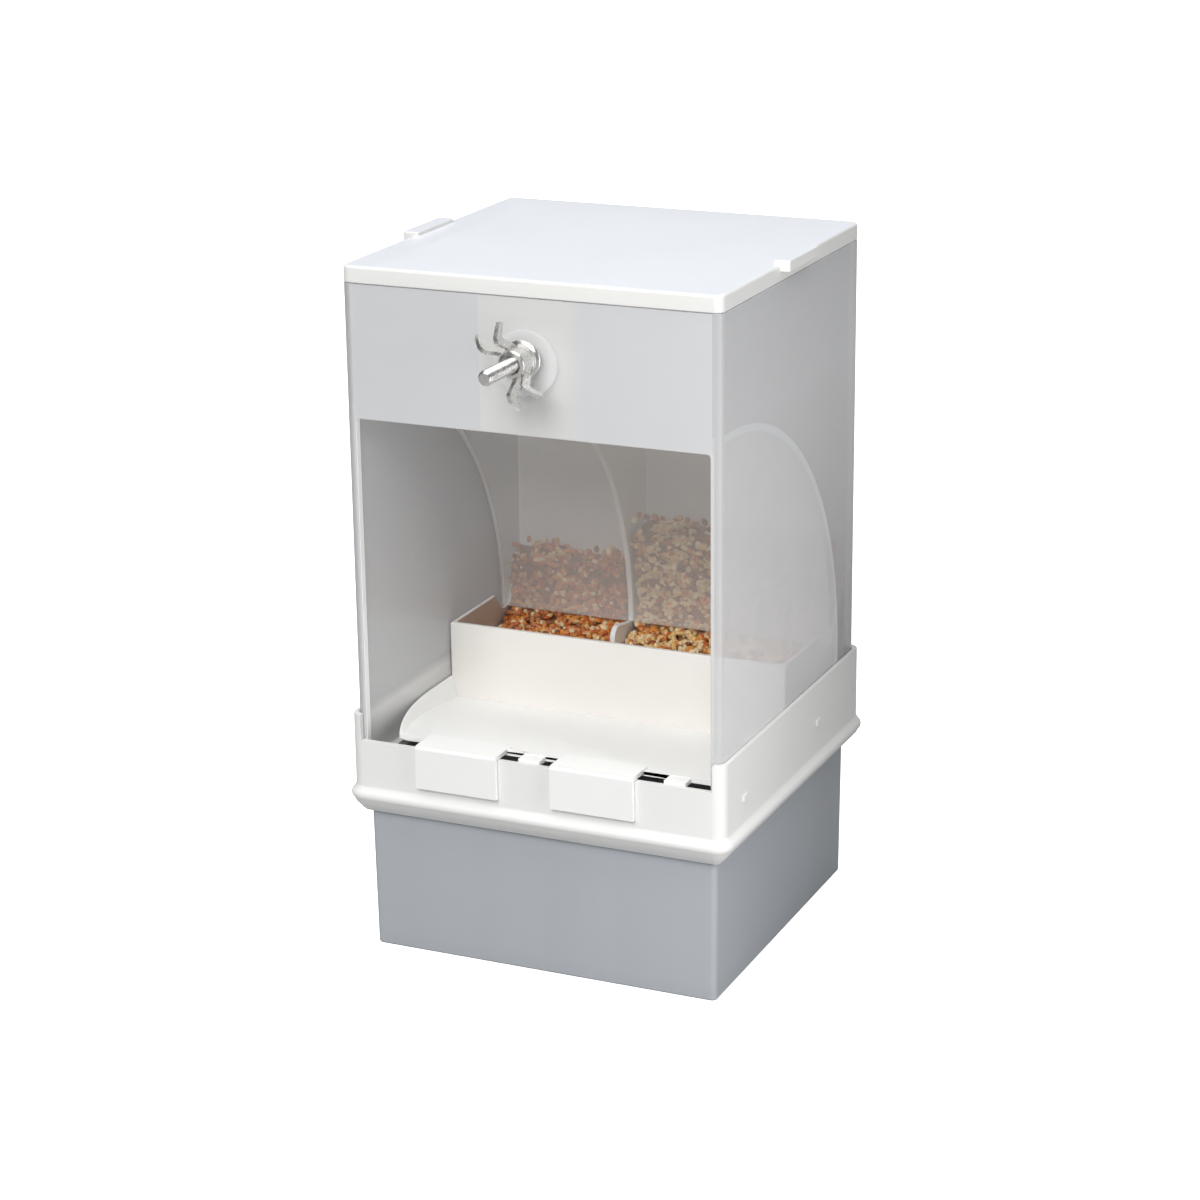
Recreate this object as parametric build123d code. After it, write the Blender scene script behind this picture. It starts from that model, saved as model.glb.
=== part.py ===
from build123d import *
import math
import os

os.makedirs("parts", exist_ok=True)

# Cage-mounted gravity seed feeder, in millimetres.
# X is the width, -Y is the front (the birds' window and the cage side), +Z is up.
# The origin is the centre of the husk tub's underside, where the feeder stands.

# Driving sizes
HOUSE_W = 105.0
HOUSE_D = 101.0
HOUSE_BOTTOM = 54.0
HOUSE_TOP = 184.6
WALL = 2.0
FRONT_WALL = 2.2
CORNER_R = 2.5
CAVITY_R = 0.3
WINDOW_TOP = 149.0
WINDOW_W = 99.0
WINDOW_R = 1.0
LID_TOP = 189.2
COLLAR_GAP = 0.15
FLAT_GAP = 0.1
TUB_W = 99.9
TUB_D = 96.5
TUB_TOP = 51.6
TUB_WALL = 1.8
TUB_FLOOR = 2.0
TUB_R = 1.6
TUB_IN_R = 0.8
TUB_EDGE_R = 0.7
TUB_DRAFT = 0.55

# Sizes worked out from them
IN_X = HOUSE_W / 2 - WALL
BACK_Y = HOUSE_D / 2 - WALL
FACE_Y = -HOUSE_D / 2
PANEL_Y = FACE_Y + FRONT_WALL

# Collar: half sizes of its straight upper wall, and the bead as (offset, height) pairs
COLLAR_X = 53.8
COLLAR_Y = 52.3
COLLAR_R = 3.4
COLLAR_SIDE_TOP = 67.6
COLLAR_FRONT_TOP = 60.4
COLLAR_POST = 3.2
BEAD = [(-2.4, 39.7), (-1.2, 40.9), (0.7, 43.3), (1.4, 45.2), (1.1, 46.5), (0.0, 47.4)]
LEDGE_BOTTOM = 51.9
LEDGE_X = 48.5
LEDGE_BACK = 46.5
SKIRT_GAP = 0.95
SKIRT_R = 2.2
CHUTE_TOP = 57.0
CHUTE_IN = 45.2
BUMP_SIZE = (3.4, 1.7)
BUMP_PROUD = 0.5
BUMP_PLACES = [(17.8, 56.4), (-37.2, 54.4)]

# Hood: a quarter cylinder from the front panel down to the feeding throat
HOOD_Y = -44.8
HOOD_Z = 72.2
HOOD_R = 79.6
HOOD_T = 1.8
HOOD_SIDE_GAP = 0.2

# Hopper divider, with its rounded nose in the trough
DIVIDER_X = -10.3
DIVIDER_T = 1.6
DIVIDER_TOP = 150.0
DIVIDER_BACK_GAP = 0.3
DIVIDER_FRONT_TOP = -8.3
NOSE_Y = 23.5
NOSE_TOP = 73.6
NOSE_RUN = 3.4
NOSE_R = 3.3

# Seed trough
TROUGH_X = 50.2
TROUGH_FRONT = 1.2
TROUGH_BACK = 48.2
TROUGH_T = 1.6
TROUGH_BOTTOM = 54.3
TROUGH_TOP = 77.3
TROUGH_BACK_TOP = 86.0
TROUGH_END_T = 1.2
RAMP_START = 28.0
RAMP_RISE = 10.0
LIP_RUN = 5.0
RELIEF_START = 34.0
RELIEF_END_T = 4.2
TROUGH_IN_X = TROUGH_X - TROUGH_END_T

# Husk apron in front of the trough
APRON_T = 1.3
APRON_FRONT = -46.4
APRON_FRONT_Z = 61.2
APRON_BACK_Z = 55.4
APRON_LEFT = -50.1
APRON_RIGHT = 50.1
APRON_RIM_Z = 61.6
APRON_RIM_T = 1.4
SWEEP_START = -12.0
SWEEP_END_X = -42.0
APRON_GAP = 0.05
TAB_CENTRES = [-21.9, 17.3]
TAB_W = 23.6
TAB_T = 1.2
TAB_HANG = 49.7
TAB_ROOT = 2.0
TOOTH_SPANS = [(-4.9, 1.2), (36.5, 42.5)]
TOOTH_HALF_T = 0.6
TOOTH_ROOT = 1.0

# Lid
LID_LIP_BOTTOM = 180.6
LID_LIP_T = 1.5
LID_LIP_GAP = 0.3
LID_PLATE_T = 2.2
LID_TAB_Y = (-10.5, 11.0)
LID_TAB_OUT = 2.6
LID_TAB_Z = (187.3, 190.3)
LID_TAB_IN = 2.0
LID_TAB_R = 0.7
LID_EDGE_R = 0.8
LID_LIP_R = 1.2
LID_HOLLOW_R = 1.0

# Bolt guard inside the front panel
GUARD_HALF_W = 13.3
GUARD_DEPTH = 10.0
GUARD_T = 1.4
GUARD_BOTTOM = 154.0
GUARD_TOP = 179.4

# M4 clamp hardware
BOLT_Z = 169.6
BOLT_R = 2.0
BOLT_LENGTH = 30.0
BOLT_CHAMFER = 0.4
BOLT_HOLE_R = 2.25
HEAD_R = 4.0
HEAD_H = 2.7
HEAD_EDGE_R = 1.0
HEAD_SOCKET_FLATS = 2.5
HEAD_SOCKET_DEPTH = 1.4
BACKING_R = 7.0
BACKING_T = 3.0
WASHER_R = 8.7
WASHER_T = 2.0
WASHER_HOLE_R = 3.5
WASHER_EDGE_R = 0.5
WASHER_SLACK = 0.1
NUT_R = 3.9
NUT_BORE_R = 2.05
NUT_HEIGHT = 7.4
NUT_FLANGE_R = 5.0
NUT_FLANGE_T = 1.3
WING_T = 1.2
WING_SPREAD = 19.0
WING_ANGLE = 122.0

# Outline of one wing arm, as (radius, distance from the nut's base) pairs:
# it climbs from the hub to a knee and falls outwards to its tip
WING_ARM = [
    (2.7, 3.0),
    (4.3, 3.4),
    (7.7, 9.6),
    (10.6, 7.4),
    (11.5, 8.7),
    (7.9, 12.3),
    (6.5, 12.3),
    (3.9, 7.2),
    (2.7, 7.0),
]

# Seeds: height of each heap behind the hood, and the shape of its surface
SEED_TOP_LEFT = 86.0
SEED_TOP_RIGHT = 98.0
SEED_GAP = 0.25
SEED_BACK_RISE = 3.0
SEED_CROWN_DROP = 1.0
SEED_CROWN_AT = 0.85
SEED_FRONT_RISE = 1.5

# Cutting tools: how far they run past a surface, and a reach beyond every piece
PAST = 1.0
FAR = 100.0


def save(node, shape):
    """Write one node's STEP file."""
    export_step(shape, f"parts/{node}.step")


def block(low, high):
    """A box between two corners."""
    size = [b - a for a, b in zip(low, high)]
    return Pos(*low) * Box(*size, align=(Align.MIN, Align.MIN, Align.MIN))


def column(width, depth, bottom, top, radius):
    """An upright prism with rounded vertical edges, centred on the Z axis."""
    return Pos(0, 0, bottom) * extrude(RectangleRounded(width, depth, radius), top - bottom)


def side_prism(points, x_low, x_high):
    """A (y, z) polygon drawn out along X."""
    outline = make_face(Polyline([(x_low, y, z) for y, z in points], close=True))
    return extrude(outline, x_high - x_low, dir=(1, 0, 0))


def rod(radius, y_from, y_to, z=BOLT_Z):
    """A cylinder along Y at the bolt's place."""
    centre = (y_from + y_to) / 2
    return Pos(0, centre, z) * Rot(90, 0, 0) * Cylinder(radius, abs(y_to - y_from))


def frustum(low, high):
    """A ruled ring section between two (offset, height) levels of the collar."""
    faces = []
    for offset, height in (low, high):
        outline = RectangleRounded(
            2 * (COLLAR_X + offset), 2 * (COLLAR_Y + offset), COLLAR_R + offset
        )
        faces.append(Pos(0, 0, height) * outline)
    return loft(faces, ruled=True)


def make_tub():
    """Drawer-like tub that catches husks, with a little draft and a soft bottom edge."""
    outer = extrude(RectangleRounded(TUB_W, TUB_D, TUB_R), TUB_TOP, taper=-TUB_DRAFT)
    outer = fillet(outer.faces().sort_by(Axis.Z)[0].edges(), TUB_EDGE_R)
    inner_sketch = RectangleRounded(TUB_W - 2 * TUB_WALL, TUB_D - 2 * TUB_WALL, TUB_IN_R)
    inner = Pos(0, 0, TUB_FLOOR) * extrude(inner_sketch, TUB_TOP, taper=-TUB_DRAFT)
    return outer - inner


def make_collar():
    """Opaque frame that joins housing and tub: thin upper wall, ledge, bead and skirt."""
    collar = column(2 * COLLAR_X, 2 * COLLAR_Y, BEAD[-1][1], COLLAR_SIDE_TOP, COLLAR_R)
    for low, high in zip(BEAD, BEAD[1:]):
        collar += frustum(low, high)
    pocket_w = HOUSE_W + 2 * COLLAR_GAP
    pocket_d = HOUSE_D + 2 * COLLAR_GAP
    collar -= column(pocket_w, pocket_d, HOUSE_BOTTOM, COLLAR_SIDE_TOP + PAST, CORNER_R)
    front_in = -pocket_d / 2
    collar -= block(
        (-LEDGE_X, front_in, LEDGE_BOTTOM - PAST),
        (LEDGE_X, LEDGE_BACK, HOUSE_BOTTOM + PAST),
    )
    skirt_w = TUB_W + 2 * SKIRT_GAP
    skirt_d = TUB_D + 2 * SKIRT_GAP
    collar -= column(skirt_w, skirt_d, BEAD[0][1] - PAST, LEDGE_BOTTOM, SKIRT_R)
    front_x = COLLAR_X - COLLAR_POST
    collar -= block(
        (-front_x, -COLLAR_Y - PAST, COLLAR_FRONT_TOP),
        (front_x, APRON_FRONT, COLLAR_SIDE_TOP + PAST),
    )
    chute = [(front_in, CHUTE_TOP), (front_in, LEDGE_BOTTOM), (-CHUTE_IN, LEDGE_BOTTOM)]
    collar += side_prism(chute, -LEDGE_X, LEDGE_X)
    for side in (-1, 1):
        for y, z in BUMP_PLACES:
            collar += Pos(side * COLLAR_X, y, z) * snap_bump()
    return collar


def snap_bump():
    """A small long bump, centred on a side wall's face."""
    length, height = BUMP_SIZE
    pad = extrude(SlotOverall(length, height), BUMP_PROUD, both=True)
    return Rot(0, 0, 90) * Rot(90, 0, 0) * pad


def make_housing():
    """Frosted shell: four walls, open at the top and bottom, with the window in front."""
    shell = column(HOUSE_W, HOUSE_D, HOUSE_BOTTOM, HOUSE_TOP, CORNER_R)
    cavity = extrude(RectangleRounded(2 * IN_X, BACK_Y - PANEL_Y, CAVITY_R), HOUSE_TOP)
    shell -= Pos(0, (BACK_Y + PANEL_Y) / 2, HOUSE_BOTTOM - PAST) * cavity
    window_h = WINDOW_TOP - HOUSE_BOTTOM + 2 * CORNER_R + 2 * WINDOW_R
    window = extrude(RectangleRounded(WINDOW_W, window_h, WINDOW_R), FRONT_WALL + PAST, both=True)
    shell -= Pos(0, FACE_Y, WINDOW_TOP - window_h / 2) * Rot(90, 0, 0) * window
    shell -= rod(BOLT_HOLE_R, FACE_Y - PAST, PANEL_Y + PAST)
    return shell


def side_disc(radius):
    """A cylinder along X, centred on the hood's axis and as long as the hood."""
    length = 2 * (IN_X - HOOD_SIDE_GAP)
    return Pos(0, HOOD_Y, HOOD_Z) * Rot(0, 90, 0) * Cylinder(radius, length)


def make_hood():
    """Curved baffle that keeps seed behind it and gives the bird its head room."""
    outer = side_disc(HOOD_R + HOOD_T)
    inner = side_disc(HOOD_R)
    reach = HOOD_R + HOOD_T + PAST
    quarter = block(
        (-IN_X, PANEL_Y + FLAT_GAP, HOOD_Z),
        (IN_X, HOOD_Y + reach, HOOD_Z + reach),
    )
    return (outer - inner) & quarter


def make_divider():
    """Upright plate that splits the hopper, ending in a rounded nose in the trough."""
    floor = TROUGH_BOTTOM + TROUGH_T + FLAT_GAP
    back = BACK_Y - TROUGH_T - DIVIDER_BACK_GAP
    points = [
        (NOSE_Y, floor),
        (RAMP_START, floor),
        (back, floor + RAMP_RISE),
        (back, DIVIDER_TOP),
        (DIVIDER_FRONT_TOP, DIVIDER_TOP),
        (HOOD_Y + HOOD_R + HOOD_T / 2, HOOD_Z - 2 * FLAT_GAP),
        (NOSE_Y + NOSE_RUN, NOSE_TOP),
        (NOSE_Y, NOSE_TOP),
    ]
    low = DIVIDER_X - DIVIDER_T / 2
    plate = side_prism(points, low, low + DIVIDER_T)
    nose = plate.edges().filter_by(Axis.X).sort_by(
        lambda edge: math.hypot(edge.center().Y - NOSE_Y, edge.center().Z - NOSE_TOP)
    )[0]
    plate = fillet(nose, NOSE_R)
    clear = HOOD_R + HOOD_T + FLAT_GAP
    arc_room = block(
        (low - PAST, PANEL_Y, HOOD_Z - FLAT_GAP),
        (low + DIVIDER_T + PAST, HOOD_Y + clear, DIVIDER_TOP + PAST),
    )
    return plate - (side_disc(clear) & arc_room)


def make_trough():
    """Seed trough under the hood: open on top, its floor rising at the back."""
    trough = block(
        (-TROUGH_X, TROUGH_FRONT, TROUGH_BOTTOM),
        (TROUGH_X, TROUGH_BACK, TROUGH_BACK_TOP),
    )
    floor = TROUGH_BOTTOM + TROUGH_T
    inner_front = TROUGH_FRONT + TROUGH_T
    inner_back = TROUGH_BACK - TROUGH_T
    above = TROUGH_BACK_TOP + PAST
    hollow = [
        (inner_front, floor),
        (RAMP_START, floor),
        (inner_back, floor + RAMP_RISE),
        (inner_back, above),
        (inner_front, above),
    ]
    trough -= side_prism(hollow, -TROUGH_IN_X, TROUGH_IN_X)
    under_hood = HOOD_Z - FLAT_GAP
    trim = [
        (TROUGH_FRONT - PAST, TROUGH_TOP),
        (RAMP_START, TROUGH_TOP),
        (RAMP_START + LIP_RUN, under_hood),
        (HOOD_Y + HOOD_R + HOOD_T + PAST, under_hood),
        (inner_back, TROUGH_BACK_TOP),
        (inner_back, above),
        (TROUGH_FRONT - PAST, above),
    ]
    trough -= side_prism(trim, -TROUGH_X - PAST, TROUGH_X + PAST)
    relief = [
        (RELIEF_START, TROUGH_BOTTOM - PAST),
        (TROUGH_BACK + PAST, TROUGH_BOTTOM - PAST),
        (TROUGH_BACK + PAST, TROUGH_BOTTOM + RAMP_RISE),
    ]
    relief_x = TROUGH_X - RELIEF_END_T
    return trough - side_prism(relief, -relief_x, relief_x)


def apron_outline():
    """Plan of the apron: straight on the right, swept in towards the front on the left."""
    run = SWEEP_START - APRON_FRONT
    shift = SWEEP_END_X - APRON_LEFT
    radius = (shift**2 + run**2) / (2 * shift)
    angle = math.asin(run / radius)
    centre = (APRON_LEFT + radius, SWEEP_START)
    middle = (centre[0] - radius * math.cos(angle / 2), centre[1] - radius * math.sin(angle / 2))
    back = TROUGH_FRONT - APRON_GAP
    edge = [
        Line((APRON_RIGHT, APRON_FRONT), (APRON_RIGHT, back)),
        Line((APRON_RIGHT, back), (APRON_LEFT, back)),
        Line((APRON_LEFT, back), (APRON_LEFT, SWEEP_START)),
        ThreePointArc((APRON_LEFT, SWEEP_START), middle, (SWEEP_END_X, APRON_FRONT)),
        Line((SWEEP_END_X, APRON_FRONT), (APRON_RIGHT, APRON_FRONT)),
    ]
    return make_face(Wire(edge))


def make_apron():
    """Sloping plate that catches husks, with two hooks over the collar's front wall."""
    plan = extrude(apron_outline(), FAR)
    slope = [
        (TROUGH_FRONT, APRON_BACK_Z),
        (APRON_FRONT, APRON_FRONT_Z),
        (APRON_FRONT, APRON_FRONT_Z - APRON_T),
        (TROUGH_FRONT, APRON_BACK_Z - APRON_T),
    ]
    apron = side_prism(slope, APRON_LEFT, APRON_RIGHT) & plan
    strip = offset(apron_outline(), -APRON_RIM_T)
    rim = extrude(apron_outline() - strip, FAR)
    keep = [
        (TROUGH_FRONT, APRON_RIM_Z),
        (APRON_FRONT, APRON_RIM_Z),
        (APRON_FRONT, APRON_FRONT_Z - APRON_T),
        (TROUGH_FRONT, APRON_BACK_Z - APRON_T),
    ]
    left_edge = side_prism(keep, APRON_LEFT, SWEEP_END_X + APRON_RIM_T)
    rear_y = TROUGH_FRONT - APRON_GAP - APRON_RIM_T
    rear_cut = block((-FAR, rear_y, APRON_BACK_Z), (FAR, FAR, FAR))
    front_cut = block((-FAR, -FAR, APRON_FRONT_Z), (FAR, APRON_FRONT + APRON_RIM_T, FAR))
    apron += (rim & left_edge) - rear_cut - front_cut
    wall_out = -COLLAR_Y - COLLAR_GAP
    top = COLLAR_FRONT_TOP + FLAT_GAP
    for centre in TAB_CENTRES:
        low = centre - TAB_W / 2
        high = centre + TAB_W / 2
        apron += block((low, wall_out - TAB_T, top), (high, APRON_FRONT + TAB_ROOT, top + TAB_T))
        apron += block((low, wall_out - TAB_T, TAB_HANG), (high, wall_out, top + TAB_T))
    for low, high in TOOTH_SPANS:
        apron += block(
            (low, FACE_Y + FLAT_GAP, top - TOOTH_HALF_T),
            (high, APRON_FRONT + TOOTH_ROOT, top + TOOTH_HALF_T),
        )
    return apron


def make_seed_heap(x_low, x_high, top):
    """Seed in one compartment: behind the hood and forward into the trough."""
    floor = TROUGH_BOTTOM + TROUGH_T + SEED_GAP
    front = TROUGH_FRONT + TROUGH_T + SEED_GAP
    back = TROUGH_BACK - TROUGH_T - SEED_GAP
    crown_y = HOOD_Y + HOOD_R * SEED_CROWN_AT
    throat_z = HOOD_Z - SEED_GAP
    points = [
        (front, floor),
        (RAMP_START, floor),
        (back, floor + RAMP_RISE),
        (back, top + SEED_BACK_RISE),
        (crown_y, top - SEED_CROWN_DROP),
        (crown_y, throat_z),
        (HOOD_Y + HOOD_R, throat_z),
        (front, floor + SEED_FRONT_RISE),
    ]
    heap = side_prism(points, x_low + SEED_GAP, x_high - SEED_GAP)
    above = block((-FAR, -FAR, throat_z), (FAR, FAR, 2 * FAR))
    heap -= side_disc(HOOD_R + HOOD_T + SEED_GAP) & above
    return heap.solids().sort_by(SortBy.VOLUME)[-1]


def make_guard():
    """Sealed pocket behind the front panel that keeps seed off the bolt head."""
    back = PANEL_Y + GUARD_DEPTH
    outer = block((-GUARD_HALF_W, PANEL_Y, GUARD_BOTTOM), (GUARD_HALF_W, back, GUARD_TOP))
    hollow = block(
        (-GUARD_HALF_W + GUARD_T, PANEL_Y - PAST, GUARD_BOTTOM + GUARD_T),
        (GUARD_HALF_W - GUARD_T, back - GUARD_T, GUARD_TOP - GUARD_T),
    )
    return outer - hollow


def make_lid():
    """Lift-off cover with a rim band, an inner lip and a finger tab on each side."""
    bottom = HOUSE_TOP + FLAT_GAP
    lid = column(HOUSE_W, HOUSE_D, bottom, LID_TOP, CORNER_R)
    lid = fillet(lid.faces().sort_by(Axis.Z)[-1].edges(), LID_EDGE_R)
    lip_w = 2 * (IN_X - LID_LIP_GAP)
    lip_d = BACK_Y - PANEL_Y - 2 * LID_LIP_GAP
    middle = Pos(0, (BACK_Y + PANEL_Y) / 2, 0)
    lid += middle * column(lip_w, lip_d, LID_LIP_BOTTOM, bottom + PAST, LID_LIP_R)
    hollow_w = lip_w - 2 * LID_LIP_T
    hollow_d = lip_d - 2 * LID_LIP_T
    hollow_top = LID_TOP - LID_PLATE_T
    lid -= middle * column(hollow_w, hollow_d, LID_LIP_BOTTOM - PAST, hollow_top, LID_HOLLOW_R)
    for side in (-1, 1):
        inside = side * (HOUSE_W / 2 - LID_TAB_IN)
        outside = side * (HOUSE_W / 2 + LID_TAB_OUT)
        tab = block(
            (min(inside, outside), LID_TAB_Y[0], LID_TAB_Z[0]),
            (max(inside, outside), LID_TAB_Y[1], LID_TAB_Z[1]),
        )
        lid += fillet(tab.edges(), LID_TAB_R)
    return lid


def make_bolt():
    """Pan-head M4 bolt; its thread is a plain cylinder of the major diameter."""
    head_y = PANEL_Y + BACKING_T + FLAT_GAP
    head_top = head_y + HEAD_H
    shank = rod(BOLT_R, head_y, head_y - BOLT_LENGTH)
    shank = chamfer(shank.faces().sort_by(Axis.Y)[0].edges(), BOLT_CHAMFER)
    head = rod(HEAD_R, head_y, head_top)
    head = fillet(head.faces().sort_by(Axis.Y)[-1].edges(), HEAD_EDGE_R)
    hexagon = RegularPolygon(HEAD_SOCKET_FLATS / 2, 6, major_radius=False)
    socket = extrude(hexagon, HEAD_SOCKET_DEPTH + PAST)
    return shank + head - Pos(0, head_top + PAST, BOLT_Z) * Rot(90, 0, 0) * socket


def make_backing_washer():
    """Soft washer between the bolt head and the inside of the panel."""
    ring = rod(BACKING_R, PANEL_Y, PANEL_Y + BACKING_T)
    return ring - rod(BOLT_HOLE_R, PANEL_Y - PAST, PANEL_Y + BACKING_T + PAST)


def make_clamp_washer():
    """Clear plastic washer that hangs loosely on the bolt outside the panel."""
    centre = BOLT_Z - (WASHER_HOLE_R - BOLT_R - WASHER_SLACK)
    front = FACE_Y - FLAT_GAP - WASHER_T
    ring = rod(WASHER_R, FACE_Y - FLAT_GAP, front, centre)
    ring = fillet(ring.edges(), WASHER_EDGE_R)
    return ring - rod(WASHER_HOLE_R, FACE_Y + PAST, front - PAST, centre)


def make_wing_nut():
    """Stamped wing nut: flange, short hub and two wings of two arms each."""
    base = FACE_Y - 2 * FLAT_GAP - WASHER_T
    nut = rod(NUT_FLANGE_R, base, base - NUT_FLANGE_T)
    nut += rod(NUT_R, base, base - NUT_HEIGHT)
    for turn in (WING_ANGLE, WING_ANGLE + 180):
        for spread in (-WING_SPREAD, WING_SPREAD):
            nut += wing_arm(base, turn + spread)
    return nut - rod(NUT_BORE_R, base + PAST, base - NUT_HEIGHT - PAST)


def wing_arm(base, turn):
    """One arm: a thin kinked plate from the hub outwards."""
    corners = [(r, base - out, -WING_T / 2) for r, out in WING_ARM]
    outline = make_face(Polyline(corners, close=True))
    plate = extrude(outline, WING_T, dir=(0, 0, 1))
    return Pos(0, 0, BOLT_Z) * Rot(0, -turn, 0) * plate


save("husk_tub", make_tub())
save("collar_frame", make_collar())
save("housing_shell", make_housing())
save("seed_hood", make_hood())
save("hopper_divider", make_divider())
save("seed_trough", make_trough())
save("husk_apron", make_apron())
save("bolt_guard", make_guard())
save("lid", make_lid())
save("clamp_bolt", make_bolt())
save("backing_washer", make_backing_washer())
save("clamp_washer", make_clamp_washer())
save("wing_nut", make_wing_nut())
save("seed_heap_left", make_seed_heap(-TROUGH_IN_X, DIVIDER_X - DIVIDER_T / 2, SEED_TOP_LEFT))
save("seed_heap_right", make_seed_heap(DIVIDER_X + DIVIDER_T / 2, TROUGH_IN_X, SEED_TOP_RIGHT))
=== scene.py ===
import math
import random

import bmesh
import bpy
from mathutils import Euler, Matrix, Vector


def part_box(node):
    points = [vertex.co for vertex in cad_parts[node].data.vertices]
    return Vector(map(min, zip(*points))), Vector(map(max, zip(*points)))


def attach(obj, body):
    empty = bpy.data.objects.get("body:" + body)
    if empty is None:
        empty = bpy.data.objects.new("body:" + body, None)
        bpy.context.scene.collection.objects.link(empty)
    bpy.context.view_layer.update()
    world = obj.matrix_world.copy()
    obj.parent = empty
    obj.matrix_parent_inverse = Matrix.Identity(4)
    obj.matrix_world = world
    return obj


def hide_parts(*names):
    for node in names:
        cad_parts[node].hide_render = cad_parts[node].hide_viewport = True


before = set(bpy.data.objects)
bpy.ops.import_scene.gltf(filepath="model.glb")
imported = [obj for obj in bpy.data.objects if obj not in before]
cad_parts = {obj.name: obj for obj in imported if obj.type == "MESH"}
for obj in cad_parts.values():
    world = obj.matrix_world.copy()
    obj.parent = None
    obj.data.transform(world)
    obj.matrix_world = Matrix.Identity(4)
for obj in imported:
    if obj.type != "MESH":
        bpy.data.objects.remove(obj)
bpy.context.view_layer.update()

# All shapes are made in millimetres, in the frame's own axes, and scaled to metres at the end.
MM = 0.001


def node_box(node):
    """Lowest and highest corner of a CAD node, in millimetres."""
    low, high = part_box(node)
    return Vector(low) / MM, Vector(high) / MM


SHELL_LOW, SHELL_HIGH = node_box("housing_shell")
LID_LOW, LID_HIGH = node_box("lid")
COLLAR_HIGH = node_box("collar_frame")[1]
TUB_LOW, TUB_HIGH = node_box("husk_tub")
HOOD_LOW, HOOD_HIGH = node_box("seed_hood")
DIVIDER_LOW, DIVIDER_HIGH = node_box("hopper_divider")
TROUGH_LOW, TROUGH_HIGH = node_box("seed_trough")
APRON_LOW, APRON_HIGH = node_box("husk_apron")
GUARD_LOW, GUARD_HIGH = node_box("bolt_guard")
BOLT_LOW, BOLT_HIGH = node_box("clamp_bolt")
WASHER_LOW, WASHER_HIGH = node_box("clamp_washer")
NUT_HIGH = node_box("wing_nut")[1]
HEAP_BOXES = {side: node_box("seed_heap_" + side) for side in ("left", "right")}

# Walls, radii, gaps and edges that a box can't tell
WALL = 2.0
FRONT_WALL = 2.2
CORNER_R = 2.5
WINDOW_TOP = 149.0
WINDOW_HALF = 49.5
WINDOW_R = 1.0
BOLT_Z = (BOLT_LOW.z + BOLT_HIGH.z) / 2
BOLT_HOLE_R = 2.25
HEAD_H = 2.7
THREAD_PITCH = 0.7
PANEL_Y = SHELL_LOW.y + FRONT_WALL
BACK_Y = SHELL_HIGH.y - WALL
IN_X = SHELL_HIGH.x - WALL
HOOD_Y = -44.8
HOOD_Z = HOOD_LOW.z
HOOD_T = 1.8
HOOD_R = HOOD_HIGH.y - HOOD_Y - HOOD_T
HOOD_TOP_ANGLE = 92.4
NOSE_Y = 23.5
# Play around the housing, and what the divider and the seed leave free behind the hood
FIT_GAP = 0.15
HOOD_GAP = 0.1
SEED_GAP = 0.25
# Where the trough's floor starts to rise, and how far it rises
FLOOR_BEND_Y = 28.0
FLOOR_RISE = 10.0

# ---------------------------------------------------------------- camera

YAW = math.radians(24.11)
PITCH = math.radians(17.96)
ROLL = math.radians(-0.70)
DISTANCE = 0.8411
LENS = 92.26
AIM = Vector((-0.0034, 0.0, 0.0899))


def make_camera():
    """Camera at the photograph's viewing angle, a little to the right and above."""
    data = bpy.data.cameras.new("view_camera")
    camera = bpy.data.objects.new("view_camera", data)
    bpy.context.scene.collection.objects.link(camera)
    data.sensor_width = 36.0
    data.lens = LENS
    data.clip_start = 0.01
    data.clip_end = 50.0
    back = Vector(
        (
            math.sin(YAW) * math.cos(PITCH),
            -math.cos(YAW) * math.cos(PITCH),
            math.sin(PITCH),
        )
    )
    right = (-back).cross(Vector((0, 0, 1))).normalized()
    up = back.cross(right)
    tilt_right = math.cos(ROLL) * right + math.sin(ROLL) * up
    tilt_up = -math.sin(ROLL) * right + math.cos(ROLL) * up
    turn = Matrix((tilt_right, tilt_up, back)).transposed().to_4x4()
    camera.matrix_world = Matrix.Translation(AIM + back * DISTANCE) @ turn
    bpy.context.scene.camera = camera


make_camera()

# ---------------------------------------------------------------- mesh tools


def new_object(name, mesh):
    """An object in the scene that holds mesh."""
    piece = bpy.data.objects.new(name, mesh)
    bpy.context.scene.collection.objects.link(piece)
    return piece


def from_faces(name, points, faces):
    """An object from points in millimetres and faces, with its normals turned outwards."""
    mesh = bpy.data.meshes.new(name)
    mesh.from_pydata([tuple(p) for p in points], [], faces)
    shape = bmesh.new()
    shape.from_mesh(mesh)
    bmesh.ops.recalc_face_normals(shape, faces=shape.faces)
    shape.to_mesh(mesh)
    shape.free()
    return new_object(name, mesh)


def rings(name, loops):
    """A closed solid through a list of point loops of equal length, capped at both ends."""
    count = len(loops[0])
    points = [p for loop in loops for p in loop]
    faces = [list(range(count))[::-1]]
    for k in range(len(loops) - 1):
        low = k * count
        high = low + count
        for i in range(count):
            j = (i + 1) % count
            faces.append((low + i, low + j, high + j, high + i))
    last = (len(loops) - 1) * count
    faces.append(list(range(last, last + count)))
    return from_faces(name, points, faces)


AXES = {"X": (1, 2, 0), "Y": (0, 2, 1), "Z": (0, 1, 2)}


def prism(name, outline, axis, low, high):
    """A flat outline drawn out along an axis. The outline's two numbers are the other two axes."""
    first, second, along = AXES[axis]
    loops = []
    for level in (low, high):
        loop = []
        for a, b in outline:
            p = [0.0, 0.0, 0.0]
            p[first], p[second], p[along] = a, b, level
            loop.append(p)
        loops.append(loop)
    return rings(name, loops)


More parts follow.
